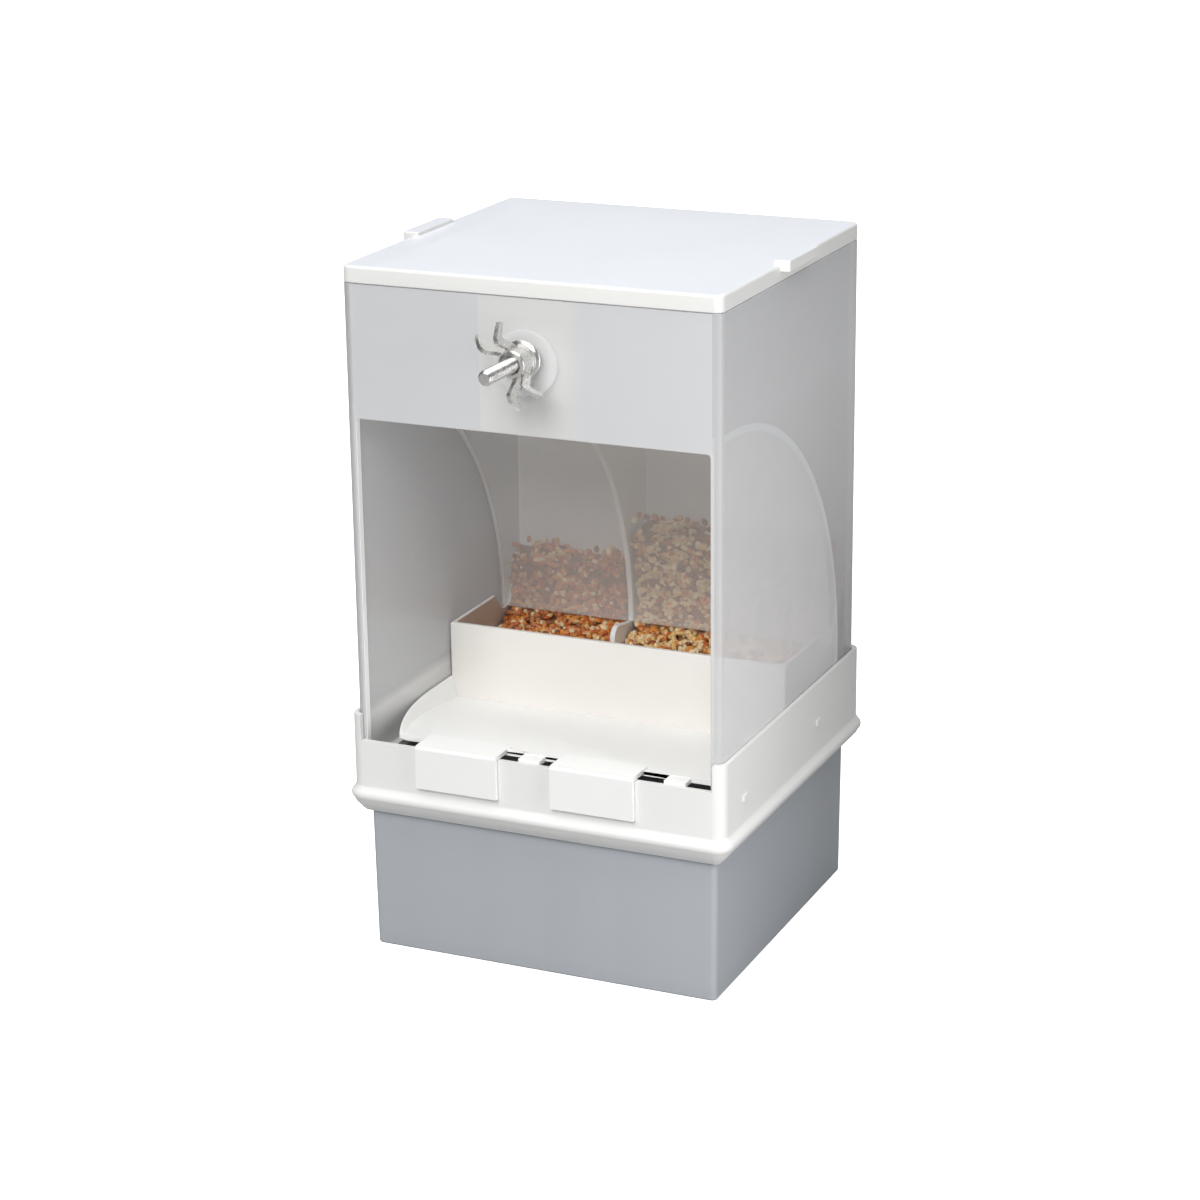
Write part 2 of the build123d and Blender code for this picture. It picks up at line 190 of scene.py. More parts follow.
def block(name, low, high):
    """A box between two corners."""
    outline = [(low[0], low[1]), (high[0], low[1]), (high[0], high[1]), (low[0], high[1])]
    return prism(name, outline, "Z", low[2], high[2])


def rounded(half_x, half_y, radius, steps=6, centre=(0.0, 0.0)):
    """Outline of a rectangle with rounded corners."""
    points = []
    for corner in range(4):
        start = corner * math.pi / 2
        sx = 1 if corner in (0, 3) else -1
        sy = 1 if corner in (0, 1) else -1
        cx = centre[0] + sx * (half_x - radius)
        cy = centre[1] + sy * (half_y - radius)
        for k in range(steps + 1):
            a = start + k * math.pi / 2 / steps
            points.append((cx + radius * math.cos(a), cy + radius * math.sin(a)))
    return points


def circle(radius, steps, centre=(0.0, 0.0)):
    """Outline of a circle."""
    return [
        (
            centre[0] + radius * math.cos(2 * math.pi * k / steps),
            centre[1] + radius * math.sin(2 * math.pi * k / steps),
        )
        for k in range(steps)
    ]


def arc(centre, radius, start, end, steps):
    """Points on an arc, angles in degrees."""
    points = []
    for k in range(steps + 1):
        a = math.radians(start + (end - start) * k / steps)
        points.append((centre[0] + radius * math.cos(a), centre[1] + radius * math.sin(a)))
    return points


def applied(piece):
    """Applies all of the piece's modifiers to its mesh."""
    graph = bpy.context.evaluated_depsgraph_get()
    graph.update()
    mesh = bpy.data.meshes.new_from_object(piece.evaluated_get(graph))
    old = piece.data
    piece.modifiers.clear()
    piece.data = mesh
    bpy.data.meshes.remove(old)
    return piece


def combine(piece, tool, operation):
    """One boolean of piece and tool. The tool is used up."""
    step = piece.modifiers.new("cut", "BOOLEAN")
    step.operation = operation
    step.solver = "EXACT"
    step.object = tool
    applied(piece)
    bpy.data.objects.remove(tool)
    return piece


def cut(piece, *tools):
    """Takes the tools away from the piece."""
    for tool in tools:
        combine(piece, tool, "DIFFERENCE")
    return piece


def weld(piece, *tools):
    """Joins the tools to the piece as one solid."""
    for tool in tools:
        combine(piece, tool, "UNION")
    return piece


def tidy(piece):
    """Merges points that booleans leave on top of each other and dissolves flat leftovers."""
    shape = bmesh.new()
    shape.from_mesh(piece.data)
    bmesh.ops.remove_doubles(shape, verts=shape.verts, dist=0.004)
    bmesh.ops.dissolve_limit(
        shape, angle_limit=math.radians(0.6), verts=shape.verts, edges=shape.edges
    )
    shape.to_mesh(piece.data)
    shape.free()
    return piece


def soften(piece, width, segments=3, angle=30.0):
    """Rounds every edge sharper than angle, as a mould does."""
    tidy(piece)
    step = piece.modifiers.new("soft", "BEVEL")
    step.width = width
    step.segments = segments
    step.limit_method = "ANGLE"
    step.angle_limit = math.radians(angle)
    step.use_clamp_overlap = True
    step.miter_outer = "MITER_ARC"
    return applied(piece)


def finish_piece(piece, name, body, material, replaced=()):
    """Scales the piece to metres, shades it smooth and ties it to its body."""
    piece.name = name
    piece.data.name = name
    piece.data.transform(Matrix.Scale(MM, 4))
    piece.data.shade_smooth()
    piece.data.set_sharp_from_angle(angle=math.radians(38))
    step = piece.modifiers.new("normals", "WEIGHTED_NORMAL")
    step.keep_sharp = True
    step.weight = 80
    piece.data.materials.clear()
    piece.data.materials.append(material)
    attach(piece, body)
    if replaced:
        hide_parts(*replaced)
    return piece


def mark(piece, material, test):
    """Gives a second material to the faces for which test(centre, normal) is true, in mm."""
    piece.data.materials.append(material)
    index = len(piece.data.materials) - 1
    for face in piece.data.polygons:
        if test(face.center / MM, face.normal):
            face.material_index = index
    return piece


# ---------------------------------------------------------------- materials


class Nodes:
    """A material's node tree with short names for what is used here."""

    def __init__(self, name):
        self.material = bpy.data.materials.new(name)
        self.material.use_nodes = True
        self.tree = self.material.node_tree
        self.shader = self.tree.nodes["Principled BSDF"]
        coordinates = self.tree.nodes.new("ShaderNodeTexCoord")
        self.place = coordinates.outputs["Object"]

    def link(self, source, target):
        self.tree.links.new(source, target)

    def stretched(self, scale):
        """Object coordinates scaled by a vector, for streaks."""
        node = self.tree.nodes.new("ShaderNodeMapping")
        node.inputs["Scale"].default_value = scale
        self.link(self.place, node.inputs["Vector"])
        return node.outputs["Vector"]

    def noise(self, scale, detail=3.0, rough=0.5, where=None):
        node = self.tree.nodes.new("ShaderNodeTexNoise")
        node.inputs["Scale"].default_value = scale
        node.inputs["Detail"].default_value = detail
        node.inputs["Roughness"].default_value = rough
        self.link(where or self.place, node.inputs["Vector"])
        return node.outputs["Fac"]

    def ramp(self, factor, stops):
        """A colour ramp; stops are (position, colour)."""
        node = self.tree.nodes.new("ShaderNodeValToRGB")
        elements = node.color_ramp.elements
        while len(elements) < len(stops):
            elements.new(0.5)
        for element, (position, colour) in zip(elements, stops):
            element.position = position
            element.color = (*colour, 1.0)
        self.link(factor, node.inputs["Fac"])
        return node.outputs["Color"]

    def spread(self, factor, low, high, start=0.3, end=0.7):
        """Maps a noise to a range of numbers."""
        node = self.tree.nodes.new("ShaderNodeMapRange")
        node.inputs["From Min"].default_value = start
        node.inputs["From Max"].default_value = end
        node.inputs["To Min"].default_value = low
        node.inputs["To Max"].default_value = high
        self.link(factor, node.inputs["Value"])
        return node.outputs["Result"]

    def axis(self, letter):
        """One object coordinate, in metres."""
        node = self.tree.nodes.new("ShaderNodeSeparateXYZ")
        self.link(self.place, node.inputs["Vector"])
        return node.outputs[letter]

    def calc(self, first, second, kind="MULTIPLY"):
        """Two numbers put together by a Math node; either can be a plain number."""
        node = self.tree.nodes.new("ShaderNodeMath")
        node.operation = kind
        for place, value in zip(node.inputs, (first, second)):
            if isinstance(value, float):
                place.default_value = value
            else:
                self.link(value, place)
        return node.outputs["Value"]

    def tinted(self, colour, factor, tint):
        """The colour multiplied by tint where factor is 1."""
        node = self.tree.nodes.new("ShaderNodeMix")
        node.data_type = "RGBA"
        node.blend_type = "MULTIPLY"
        self.link(factor, node.inputs["Factor"])
        self.link(colour, node.inputs["A"])
        node.inputs["B"].default_value = (*tint, 1.0)
        return node.outputs["Result"]

    def bump(self, height, depth, strength=1.0, under=None):
        node = self.tree.nodes.new("ShaderNodeBump")
        node.inputs["Strength"].default_value = strength
        node.inputs["Distance"].default_value = depth
        self.link(height, node.inputs["Height"])
        if under is not None:
            self.link(under, node.inputs["Normal"])
        return node.outputs["Normal"]


def shade(colour, factor):
    """A colour made lighter or darker."""
    return tuple(min(1.0, c * factor) for c in colour)


def plastic(name, colour, rough, cover=1.0, streaks=False, vary=0.015, painted_shades=()):
    """Moulded plastic with faint cloudiness, fine grain and slow waviness.

    cover is how much each face hides of what is behind it. Each entry of shades is a function
    that gives a mask, and the tint where that is 1: painted shade, darker where less light falls.
    """
    m = Nodes(name)
    bsdf = m.shader
    cloud = m.noise(30.0, 3.0)
    if streaks:
        cloud = m.noise(1.0, 3.0, 0.55, m.stretched((110.0, 110.0, 8.0)))
    stops = [(0.0, shade(colour, 1.0 - 2 * vary)), (1.0, shade(colour, 1.0 + 2 * vary))]
    tint = m.ramp(cloud, stops)
    # Painted shade: each mask darkens the base colour where the part gets less light.
    for mask, factor in painted_shades:
        tint = m.tinted(tint, mask(m), factor)
    m.link(tint, bsdf.inputs["Base Color"])
    gloss = m.spread(m.noise(60.0, 2.0), rough * 0.95, rough * 1.08, 0.0, 1.0)
    m.link(gloss, bsdf.inputs["Roughness"])
    waves = m.bump(m.noise(14.0, 0.0), 0.0001, 0.12)
    fine = m.bump(m.noise(650.0, 0.0), 0.00001, 0.15, waves)
    m.link(fine, bsdf.inputs["Normal"])
    bsdf.inputs["IOR"].default_value = 1.49
    bsdf.inputs["Alpha"].default_value = cover
    return m.material


def metal(name, colour, rough):
    """Bright zinc plating: slight colour drift, faint grain and handling marks."""
    m = Nodes(name)
    bsdf = m.shader
    drift = m.noise(420.0, 4.0, 0.6)
    tint = m.ramp(drift, [(0.3, shade(colour, 0.93)), (0.7, shade(colour, 1.05))])
    m.link(tint, bsdf.inputs["Base Color"])
    m.link(m.spread(m.noise(600.0, 3.0), rough * 0.85, rough * 1.25), bsdf.inputs["Roughness"])
    m.link(m.bump(m.noise(900.0, 2.0), 0.00001, 0.2), bsdf.inputs["Normal"])
    bsdf.inputs["Metallic"].default_value = 1.0
    return m.material


def rubber(name, colour):
    """Matt soft rubber."""
    m = Nodes(name)
    tint = m.ramp(m.noise(300.0), [(0.3, shade(colour, 0.8)), (0.7, shade(colour, 1.25))])
    m.link(tint, m.shader.inputs["Base Color"])
    m.shader.inputs["Roughness"].default_value = 0.75
    m.link(m.bump(m.noise(1800.0), 0.00005, 0.6), m.shader.inputs["Normal"])
    return m.material


def seed_skin(name, colour):
    """Glossy seed husk: mottled, darker in patches."""
    m = Nodes(name)
    patches = m.noise(520.0, 4.0, 0.6)
    stops = [(0.25, shade(colour, 0.6)), (0.5, colour), (0.78, shade(colour, 1.22))]
    m.link(m.ramp(patches, stops), m.shader.inputs["Base Color"])
    m.link(m.spread(m.noise(700.0), 0.32, 0.6), m.shader.inputs["Roughness"])
    m.link(m.bump(m.noise(2400.0, 3.0), 0.00006, 0.5), m.shader.inputs["Normal"])
    return m.material


def from_hood_axis(m):
    """Distance from the axis that the hood is bent about."""
    from_y = m.calc(m.axis("Y"), HOOD_Y * MM, "SUBTRACT")
    from_z = m.calc(m.axis("Z"), HOOD_Z * MM, "SUBTRACT")
    square = m.calc(m.calc(from_y, from_y), m.calc(from_z, from_z), "ADD")
    return m.calc(square, 0.5, "POWER")


def behind_hood(m):
    """Where a side wall gets painted shade: the hopper side of the hood, most of all low down."""
    edge = (HOOD_R + HOOD_T) * MM
    outside = m.spread(from_hood_axis(m), 0.0, 1.0, edge - 0.0001, edge + 0.0003)
    low = m.spread(m.axis("Z"), 1.0, 0.12, 0.080, 0.155)
    return m.calc(outside, low)


def off_hood_end(m):
    """Everywhere but where the hood's white end touches the wall: painted shade all around, which
    leaves a painted light line along the hood's end.
    """
    reach = from_hood_axis(m)
    inside = m.spread(reach, 1.0, 0.0, (HOOD_R - 0.2) * MM, (HOOD_R + 0.1) * MM)
    outside = m.spread(reach, 0.0, 1.0, (HOOD_R + HOOD_T) * MM, (HOOD_R + HOOD_T + 0.3) * MM)
    return m.calc(inside, outside, "ADD")


def toward_back(m):
    """Grows from 0 near the front wall to 1 at the back wall, where tub and collar get painted
    shade.
    """
    front, back = -0.045, 0.05
    return m.spread(m.axis("Y"), 0.0, 1.0, front, back)


def above_collar(m):
    """All of the wall that no collar stands behind, where the walls get painted shade."""
    top = COLLAR_HIGH.z * MM
    return m.spread(m.axis("Z"), 0.0, 1.0, top - 0.0015, top + 0.0015)


def beside_guard(m):
    """The front panel to the left and right of the guard pocket, which gets painted shade: darker
    and bluer than in front of the guard.
    """
    left = m.spread(m.axis("X"), 1.0, 0.0, GUARD_LOW.x * MM - 0.0004, GUARD_LOW.x * MM)
    right = m.spread(m.axis("X"), 0.0, 1.0, GUARD_HIGH.x * MM - 0.003, GUARD_HIGH.x * MM + 0.003)
    return m.calc(left, right, "ADD")


# Painted shade on the frosted walls' outer faces: above the collar, off the hood's end and behind
# the hood.
OUTER_PAINTED_SHADE = [
    (above_collar, (0.88, 0.88, 0.89)),
    (off_hood_end, (0.93, 0.93, 0.93)),
    (behind_hood, (0.55, 0.53, 0.52)),
]
# Painted shade: tub and collar up to 30 % darker towards the back.
BACK_PAINTED_SHADE = [(toward_back, (0.7, 0.7, 0.7))]
# Painted shade: the walls' inner faces are 42 % darker above the collar top.
INNER_PAINTED_SHADE = [(above_collar, (0.58, 0.58, 0.59))]

LOOKS = {
    # Painted shade: the front panel is a darker copy of the frosted wall plastic, darker still
    # beside the guard pocket.
    "panel": plastic(
        "frosted_panel",
        (0.69, 0.69, 0.675),
        0.28,
        cover=0.8,
        painted_shades=[(beside_guard, (0.92, 0.93, 0.965))],
    ),
    "shell": plastic("frosted_shell", (0.96, 0.965, 0.97), 0.26, cover=0.5, painted_shades=OUTER_PAINTED_SHADE),
    "inside": plastic("frosted_inside", (0.97, 0.97, 0.965), 0.3, cover=0.6, painted_shades=INNER_PAINTED_SHADE),
    "back": plastic("frosted_back", (0.95, 0.94, 0.925), 0.3, cover=0.6),
    "edge": plastic("frosted_edge", (0.93, 0.93, 0.92), 0.3, cover=0.95),
    # Painted light and shade: the rounded front corners get their own copy of the frosted plastic.
    "corner": plastic("frosted_corner", (0.52, 0.52, 0.525), 0.3, cover=0.7),
    "hood": plastic("frosted_hood", (0.97, 0.95, 0.92), 0.22, cover=0.25),
    "lid": plastic("frosted_lid", (0.89, 0.92, 0.97), 0.34, cover=0.78),
    # Painted shade: the lid's upright rim faces are a darker copy of the lid plastic.
    "lid_rim": plastic("frosted_lid_rim", (0.79, 0.785, 0.76), 0.34, cover=0.9),
    "guard": plastic("frosted_guard", (0.95, 0.95, 0.93), 0.38, cover=0.75),
    "tub": plastic(
        "smoky_tub",
        (0.455, 0.48, 0.515),
        0.32,
        cover=0.8,
        streaks=True,
        vary=0.02,
        painted_shades=BACK_PAINTED_SHADE,
    ),
    "collar": plastic("white_collar", (0.74, 0.735, 0.72), 0.34, painted_shades=BACK_PAINTED_SHADE),
    # Painted shade: the hooks' front faces are a darker copy of the white apron plastic.
    "hook": plastic("white_hook", (0.80, 0.80, 0.785), 0.36),
    "apron": plastic("white_apron", (0.95, 0.95, 0.93), 0.38),
    "trough": plastic("warm_trough", (0.78, 0.755, 0.715), 0.36),
    # Painted shade and painted seed reflection: the trough's ends are a darker, warmer copy of the
    # trough plastic.
    "trough_end": plastic("shaded_trough", (0.56, 0.465, 0.40), 0.4),
    "divider": plastic("white_divider", (0.86, 0.86, 0.85), 0.4),
    "washer": plastic("clear_washer", (0.96, 0.97, 0.97), 0.2, cover=0.2),
    "zinc": metal("zinc_plate", (0.72, 0.71, 0.69), 0.26),
    "rubber": rubber("soft_rubber", (0.03, 0.03, 0.032)),
}

# ---------------------------------------------------------------- housing group


def make_shell():
    """Four frosted walls with the big window in front, open above and below."""
    half_x = (SHELL_HIGH.x - SHELL_LOW.x) / 2
    half_y = (SHELL_HIGH.y - SHELL_LOW.y) / 2
    outline = rounded(half_x, half_y, CORNER_R, 8)
    shell = prism("shell", outline, "Z", SHELL_LOW.z, SHELL_HIGH.z)
    middle = (BACK_Y + PANEL_Y) / 2
    hollow = rounded(IN_X, (BACK_Y - PANEL_Y) / 2, 0.8, 4, (0.0, middle))
    cavity = prism("cavity", hollow, "Z", SHELL_LOW.z - 5, SHELL_HIGH.z + 5)
    top = WINDOW_TOP - WINDOW_R
    side = WINDOW_HALF - WINDOW_R
    window = [(-WINDOW_HALF, SHELL_LOW.z - 5), (WINDOW_HALF, SHELL_LOW.z - 5)]
    window += arc((side, top), WINDOW_R, 0, 90, 8)
    window += arc((-side, top), WINDOW_R, 90, 180, 8)
    opening = prism("opening", window, "Y", SHELL_LOW.y - 5, PANEL_Y + 3)
    hole = prism("hole", circle(BOLT_HOLE_R, 32, (0, BOLT_Z)), "Y", SHELL_LOW.y - 3, PANEL_Y + 1.0)
    cut(shell, cavity, opening, hole)
    soften(shell, 0.5)
    finish_piece(
        shell, "shell_walls", "housing", LOOKS["shell"], ("housing_shell",)
    )

    def on_corner(centre, normal):
        """The rounded front corners, where the light the sheet gathers is painted in with a
        darker, more opaque copy of the frosted plastic.
        """
        slanted = max(abs(normal.x), abs(normal.y), abs(normal.z)) < 0.995
        return centre.y < PANEL_Y + 0.1 and slanted

    def on_rim(centre, normal):
        """The window's rim."""
        inside = abs(centre.x) < WINDOW_HALF + 0.7 and centre.z < WINDOW_TOP + 0.7
        return inside and centre.y < PANEL_Y + 0.1 and abs(normal.y) < 0.9

    def on_panel(centre, normal):
        """Both faces of the front panel above the window."""
        return centre.y < PANEL_Y + 0.1 and abs(normal.y) > 0.9 and centre.z > WINDOW_TOP - 5

    mark(shell, LOOKS["inside"], lambda centre, normal: -normal.x * centre.x > 20)
    mark(shell, LOOKS["back"], lambda centre, normal: normal.y < -0.5 and centre.y > 20)
    # The front panel gets its darker copy of the frosted plastic: painted shade.
    mark(shell, LOOKS["panel"], on_panel)
    # Painted light and shade on the rounded front corners.
    mark(shell, LOOKS["corner"], on_corner)
    return mark(shell, LOOKS["edge"], on_rim)


def make_hood():
    """Quarter-cylinder sheet from the panel down to the feeding throat."""
    outline = arc((HOOD_Y, HOOD_Z), HOOD_R + HOOD_T, 0, HOOD_TOP_ANGLE, 72)
    outline += arc((HOOD_Y, HOOD_Z), HOOD_R, HOOD_TOP_ANGLE, 0, 72)
    hood = prism("hood", outline, "X", HOOD_LOW.x, HOOD_HIGH.x)
    trim = block("trim", (-60, -60, 60), (60, HOOD_LOW.y, 200))
    cut(hood, trim)
    soften(hood, 0.35)
    finish_piece(hood, "hood_sheet", "housing", LOOKS["hood"], ("seed_hood",))
    return mark(hood, LOOKS["edge"], lambda centre, normal: abs(normal.x) > 0.3)


def make_guard():
    """Sealed pocket behind the front panel."""
    low, high = GUARD_LOW, GUARD_HIGH
    thick = 1.4
    guard = block("guard", low, high)
    hollow = block(
        "hollow",
        (low.x + thick, low.y - 1, low.z + thick),
        (high.x - thick, high.y - thick, high.z - thick),
    )
    cut(guard, hollow)
    soften(guard, 0.3)
    return finish_piece(
        guard, "guard_pocket", "housing", LOOKS["guard"], ("bolt_guard",)
    )


def make_divider():
    """Upright plate behind the hood, with its rounded nose in the trough."""
    floor = DIVIDER_LOW.z
    nose_top = 73.6
    nose_r = 3.3
    clear = HOOD_R + HOOD_T + HOOD_GAP
    top_angle = math.degrees(math.asin((DIVIDER_HIGH.z - HOOD_Z) / clear))
    outline = [(NOSE_Y, floor), (FLOOR_BEND_Y, floor), (DIVIDER_HIGH.y, floor + FLOOR_RISE)]
    outline += [(DIVIDER_HIGH.y, DIVIDER_HIGH.z)]
    outline += arc((HOOD_Y, HOOD_Z), clear, top_angle, 0, 48)
    outline += [(HOOD_Y + HOOD_R + HOOD_T / 2, HOOD_Z - 0.2), (NOSE_Y + 3.4, nose_top)]
    outline += arc((NOSE_Y + nose_r, nose_top - nose_r), nose_r, 95, 180, 8)
    divider = prism("divider", outline, "X", DIVIDER_LOW.x, DIVIDER_HIGH.x)
    soften(divider, 0.5, 4, 40)
    return finish_piece(
        divider,
        "divider_plate",
        "housing",
        LOOKS["divider"],
        ("hopper_divider",),
    )


def make_trough():
    """White trough: straight front wall, floor that rises at the back."""
    low, high = TROUGH_LOW, TROUGH_HIGH
    thick = 1.6
    end = 1.2
    top = 77.3
    floor = low.z + thick
    back = high.y - thick
    under = HOOD_Z - 0.1
    wall = [(low.y, low.z), (34.0, low.z), (high.y, low.z + 9.2), (high.y, high.z)]
    wall += [(back, high.z), (HOOD_Y + HOOD_R + HOOD_T + 1, under), (33.0, under)]
    wall += [(28.0, top), (low.y, top)]
    trough = prism("trough", wall, "X", low.x, high.x)
    hollow = [(low.y + thick, floor), (FLOOR_BEND_Y, floor), (back, floor + FLOOR_RISE)]
    hollow += [(back, high.z + 5), (low.y + thick, high.z + 5)]
    cut(trough, prism("hollow", hollow, "X", low.x + end, high.x - end))
    soften(trough, 0.4)
    finish_piece(
        trough, "trough_pan", "housing", LOOKS["trough"], ("seed_trough",)
    )
    # Both end faces get the darker, warmer look: painted shade and painted reflection of the seed.
    return mark(trough, LOOKS["trough_end"], lambda centre, normal: abs(normal.x) > 0.9)


APRON_FRONT = -46.4
SWEEP_START = -12.0
SWEEP_END_X = -42.0
TAB_CENTRES = (-21.9, 17.3)
TAB_W = 23.6
TAB_T = 1.2
TOOTH_SPANS = ((-4.9, 1.2), (36.5, 42.5))


def apron_left(y):
    """The swept left edge: x for a given y."""
    if y >= SWEEP_START:
        return APRON_LOW.x
    run = SWEEP_START - APRON_FRONT
    shift = SWEEP_END_X - APRON_LOW.x
    radius = (shift**2 + run**2) / (2 * shift)
    return APRON_LOW.x + radius - math.sqrt(radius**2 - (SWEEP_START - y) ** 2)


def make_apron():
    """Bright plate that falls towards the trough, its left edge raised, with two hooks."""
    back = TROUGH_LOW.y - 0.05
    back_z = 55.4
    front_z = 61.2
    rim = 61.6
    flank = 2.2
    rows, columns = 40, 60
    top, bottom = [], []
    for r in range(rows + 1):
        y = APRON_FRONT + (back - APRON_FRONT) * r / rows
        left = apron_left(y)
        floor = front_z + (back_z - front_z) * (y - APRON_FRONT) / (back - APRON_FRONT)
        for c in range(columns + 1):
            share = (c / columns) ** 1.8
            x = left + (APRON_HIGH.x - left) * share
            rise = max(0.0, 1.0 - (x - left) / flank)
            z = floor + (rim - floor) * rise * rise * (3 - 2 * rise)
            top.append((x, y, z))
            bottom.append((x, y, z - 1.3))
    points = top + bottom
    wide = columns + 1
    shift = len(top)
    faces = []
    for r in range(rows):
        for c in range(columns):
            a = r * wide + c
            faces.append((a, a + 1, a + wide + 1, a + wide))
            faces.append((shift + a, shift + a + wide, shift + a + wide + 1, shift + a + 1))
    border = list(range(wide))
    border += [r * wide + columns for r in range(1, rows + 1)]
    border += [rows * wide + c for c in range(columns - 1, -1, -1)]
    border += [r * wide for r in range(rows - 1, 0, -1)]
    for k, a in enumerate(border):
        b = border[(k + 1) % len(border)]
        faces.append((a, shift + a, shift + b, b))
    apron = from_faces("apron", points, faces)
    wall_out = -COLLAR_Y - FIT_GAP
    deck = 60.5
    bend = 1.1
    for centre in TAB_CENTRES:
        hook = [(APRON_FRONT + 2.5, deck), (APRON_FRONT + 2.5, deck + TAB_T)]
        hook += arc((wall_out + bend - TAB_T, deck + TAB_T - bend), bend, 90, 180, 6)
        hook += [(wall_out - TAB_T, APRON_LOW.z), (wall_out, APRON_LOW.z), (wall_out, deck)]
        weld(apron, prism("hook", hook, "X", centre - TAB_W / 2, centre + TAB_W / 2))
    for low, high in TOOTH_SPANS:
        weld(apron, block("tooth", (low, -50.4, 59.9), (high, APRON_FRONT + 1.2, 61.1)))
    soften(apron, 0.28, 3, 40)
    finish_piece(apron, "apron_plate", "housing", LOOKS["apron"], ("husk_apron",))
    # The hooks' front faces get the darker look: painted shade.
    return mark(apron, LOOKS["hook"], lambda centre, normal: centre.y < wall_out)


# ---------------------------------------------------------------- lid, collar, tub

LID_TAB_HALF = 10.75
LID_TAB_Y = 0.25
LID_TAB_LOW = 187.3


def make_lid():
    """Flat cover with a rim band, an inner lip and a finger tab on each side."""
    half_x = (SHELL_HIGH.x - SHELL_LOW.x) / 2
    half_y = (SHELL_HIGH.y - SHELL_LOW.y) / 2
    plate_top = 189.2
    edge = 0.8
    bottom = SHELL_HIGH.z + 0.1
    loops = [[(x, y, bottom) for x, y in rounded(half_x, half_y, CORNER_R, 8)]]
    for k in range(6):
        a = k * math.pi / 2 / 5
        inset = edge * (1 - math.cos(a))
        z = plate_top - edge + edge * math.sin(a)
        outline = rounded(half_x - inset, half_y - inset, CORNER_R - inset, 8)
        loops.append([(x, y, z) for x, y in outline])
    lid = rings("lid", loops)
    middle = (BACK_Y + PANEL_Y) / 2
    lip_x = IN_X - 0.3
    lip_y = (BACK_Y - PANEL_Y) / 2 - 0.3
    lip = prism("lip", rounded(lip_x, lip_y, 1.2, 5, (0, middle)), "Z", LID_LOW.z, bottom + 0.8)
    weld(lid, lip)
    hollow = rounded(lip_x - 1.5, lip_y - 1.5, 1.0, 5, (0, middle))
    cut(lid, prism("hollow", hollow, "Z", LID_LOW.z - 2, plate_top - 2.2))
    for side in (-1, 1):
        inside = side * (half_x - 2.0)
        outside = side * LID_HIGH.x
        low = min(inside, outside)
        high = max(inside, outside)
        flat = rounded((high - low) / 2, LID_TAB_HALF, 0.9, 5, ((low + high) / 2, LID_TAB_Y))
        tab = prism("tab", flat, "Z", LID_TAB_LOW, LID_HIGH.z)
        weld(lid, tab)
    soften(lid, 0.35)
    finish_piece(lid, "lid_cover", "cover", LOOKS["lid"], ("lid",))
    # The upright rim faces get the darker lid look: painted shade.
    return mark(lid, LOOKS["lid_rim"], lambda centre, normal: normal.z < 0.8 and centre.z > bottom)


COLLAR_X = 53.8
COLLAR_Y = 52.3
COLLAR_R = 3.4
BEAD_TOP = 47.4
SKIRT_CUT = 30.0
FRONT_TOP = 60.4
SNAP_BUMPS = ((17.8, 56.4), (-37.2, 54.4))
BUMP_W = 3.4
BUMP_H = 1.7


def bead_profile():
    """(offset, height) of the bead's outside, from the tub's edge up to the straight wall."""
    low = [(-2.4, 39.7), (-1.2, 40.9), (0.2, 42.5)]
    return low + arc((-0.35, 45.0), 1.75, -50, 52, 9) + [(0.15, 47.2), (0.0, BEAD_TOP + 0.4)]


def make_collar():
    """Opaque frame: thin upper wall, ledge, bead and skirt."""
    loops = []
    top = COLLAR_HIGH.z
    for offset, z in bead_profile() + [(0.0, top)]:
        outline = rounded(COLLAR_X + offset, COLLAR_Y + offset, COLLAR_R + offset, 8)
        loops.append([(x, y, z) for x, y in outline])
    collar = rings("collar", loops)
    pocket_x = SHELL_HIGH.x + FIT_GAP
    pocket_y = SHELL_HIGH.y + FIT_GAP
    ledge = SHELL_LOW.z
    under = 51.9
    skirt = rounded(TUB_HIGH.x + 0.45, TUB_HIGH.y + 0.45, 2.2, 8)
    cut(
        collar,
        prism("pocket", rounded(pocket_x, pocket_y, CORNER_R, 8), "Z", ledge, top + 5),
        block("through", (-48.5, -pocket_y, under - 2), (48.5, 46.5, ledge + 1)),
        prism("skirt", skirt, "Z", SKIRT_CUT, under),
        block("front", (-50.6, -60, FRONT_TOP), (50.6, -40, top + 5)),
    )
    chute = [(-pocket_y - 0.3, 57.0), (-pocket_y - 0.3, under - 0.6), (-45.2, under - 0.6)]
    weld(collar, prism("chute", chute + [(-45.2, under)], "X", -48.8, 48.8))
    for side in (-1, 1):
        for y, z in SNAP_BUMPS:
            near = side * (COLLAR_X - 0.5)
            far = side * (COLLAR_X + 0.5)
            bump = block(
                "bump",
                (min(near, far), y - BUMP_W / 2, z - BUMP_H / 2),
                (max(near, far), y + BUMP_W / 2, z + BUMP_H / 2),
            )
            weld(collar, bump)
    soften(collar, 0.35)
    return finish_piece(
        collar, "collar_ring", "collar", LOOKS["collar"], ("collar_frame",)
    )


def tub_loops(half_x, half_y, bottom, top, radius, edge, draft):
    """Rounded-rectangle loops for one face of the tub, with a soft bottom edge."""
    loops = []
    steps = 6
    for k in range(steps + 1):
        a = k * math.pi / 2 / steps
        inset = edge * (1 - math.sin(a))
        z = bottom + edge * (1 - math.cos(a))
        outline = rounded(half_x - inset, half_y - inset, max(radius - inset, 0.6), 8)
        loops.append([(x, y, z) for x, y in outline])
    levels = 6
    for k in range(1, levels + 1):
        z = bottom + edge + (top - bottom - edge) * k / levels
        grow = draft * (z - bottom) / (top - bottom)
        outline = rounded(half_x + grow, half_y + grow, radius, 8)
        loops.append([(x, y, z) for x, y in outline])
    return loops


